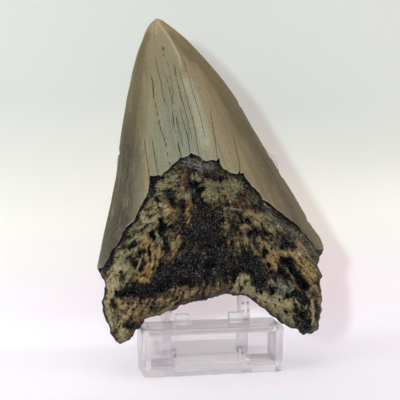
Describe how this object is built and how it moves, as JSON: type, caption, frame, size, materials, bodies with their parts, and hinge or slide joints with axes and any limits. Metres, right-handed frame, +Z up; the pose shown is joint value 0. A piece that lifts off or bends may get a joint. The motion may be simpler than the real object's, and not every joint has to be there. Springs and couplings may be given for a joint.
{
  "type": "megalodon tooth on a stand",
  "caption": "Fossil megalodon tooth with serrated enamel crown and thick two-lobed root, resting on a small clear plastic easel stand.",
  "frame": {"origin": "centre of the ledge's flat underside, on the surface that the stand stands on", "axes": "+Z up, -Y to the front, where the tooth's bulging display face looks, +X to its right seen from the front"},
  "size_m": [0.0853, 0.0481, 0.1289],
  "materials": {
    "fossil": "satin enamel crown, rough glossy dark root",
    "clear_plastic": "clear moulded plastic, gloss"
  },
  "bodies": {
    "root": {"tooth": "fossil", "stand_ledge": "clear_plastic", "stand_rest": "clear_plastic"}
  },
  "joints": []
}
